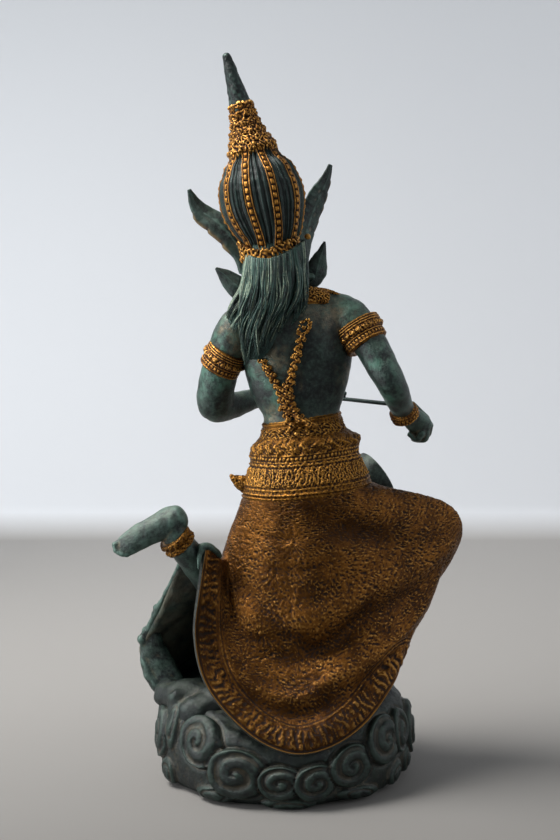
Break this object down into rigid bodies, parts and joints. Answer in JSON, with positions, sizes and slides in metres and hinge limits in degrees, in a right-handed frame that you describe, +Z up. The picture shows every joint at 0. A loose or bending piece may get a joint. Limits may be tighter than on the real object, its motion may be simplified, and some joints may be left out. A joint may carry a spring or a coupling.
{
  "type": "musician statue",
  "caption": "Small cast statue of a crowned musician on a scrolled cloud, one foot lifted behind, bowing a spike fiddle, with gilded dress and green patina.",
  "frame": {"origin": "middle of the cloud's flat underside, on the surface that it stands on", "axes": "+Z up, +Y the way the figure faces, +X to the figure's right"},
  "size_m": [0.1227, 0.0885, 0.25],
  "materials": {
    "verdigris_bronze": "cast bronze with a dull green patina, tan dirt in the recesses",
    "gilt_bronze": "gilding worn on the high spots, dark brown in the recesses",
    "dark_iron": "thin dark rod, dull"
  },
  "bodies": {
    "root": {"musician_on_cloud": "verdigris_bronze", "fiddle": "verdigris_bronze", "bow": "dark_iron"}
  },
  "joints": []
}
